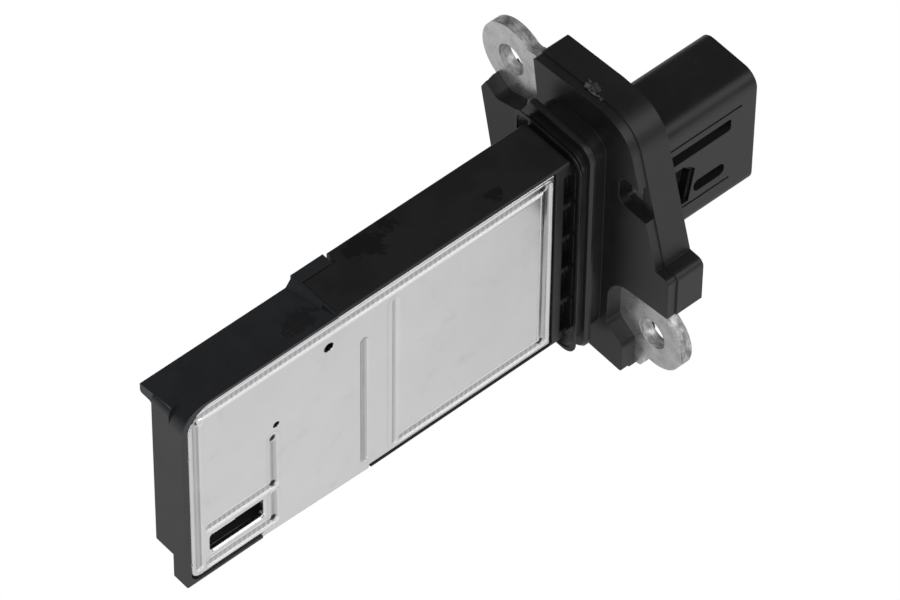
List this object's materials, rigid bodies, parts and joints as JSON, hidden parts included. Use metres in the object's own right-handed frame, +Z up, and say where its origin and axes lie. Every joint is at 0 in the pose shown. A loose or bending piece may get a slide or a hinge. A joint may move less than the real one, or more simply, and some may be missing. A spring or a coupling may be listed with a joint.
{
  "type": "mass airflow sensor",
  "caption": "Plug-in mass airflow sensor: flat probe with pressed metal base plate, lipped seal, diagonal-eared flange and electrical connector.",
  "frame": {"origin": "midway between the two screw holes, on the front face of the steel ears, where the screws clamp the flange", "axes": "+X from the probe's tip to the connector, +Z up along the probe's long side, +Y away from the metal base plate"},
  "size_m": [0.091, 0.0374, 0.045],
  "materials": {
    "black_plastic": "moulded, glass-filled, satin",
    "plated_steel": "stamped, zinc plated, slightly mottled",
    "seal_rubber": "moulded rubber, dull",
    "plate_aluminium": "pressed sheet, satin",
    "sealant": "cured silicone",
    "board_ceramic": "fired alumina",
    "chip_resin": "moulded epoxy",
    "capacitor_ceramic": "fired ceramic",
    "resistor_film": "glazed film",
    "lead_aluminium": "drawn ribbon",
    "element_glass": "glass coated",
    "tinned_brass": "tin plated"
  },
  "bodies": {
    "root": {"housing": "black_plastic", "mounting_plate": "plated_steel", "flange_seal": "seal_rubber", "base_plate": "plate_aluminium", "plate_sealant": "sealant", "bypass_frame": "black_plastic", "bypass_cover": "black_plastic", "circuit_cover": "black_plastic", "cover_sealant": "sealant", "circuit_board": "board_ceramic", "board_glue": "sealant", "control_chip": "chip_resin", "power_transistor": "chip_resin", "capacitors": "capacitor_ceramic", "resistors": "resistor_film", "terminal_leads": "lead_aluminium", "sensor_leads": "lead_aluminium", "heating_resistor": "element_glass", "temperature_resistor": "element_glass", "intake_thermistor": "element_glass", "terminal_1": "tinned_brass", "terminal_2": "tinned_brass", "terminal_3": "tinned_brass", "terminal_4": "tinned_brass", "terminal_5": "tinned_brass", "terminal_6": "tinned_brass", "sensor_pin_1": "tinned_brass", "sensor_pin_2": "tinned_brass", "sensor_pin_3": "tinned_brass", "sensor_pin_4": "tinned_brass", "sensor_pin_5": "tinned_brass", "sensor_pin_6": "tinned_brass"}
  },
  "joints": []
}
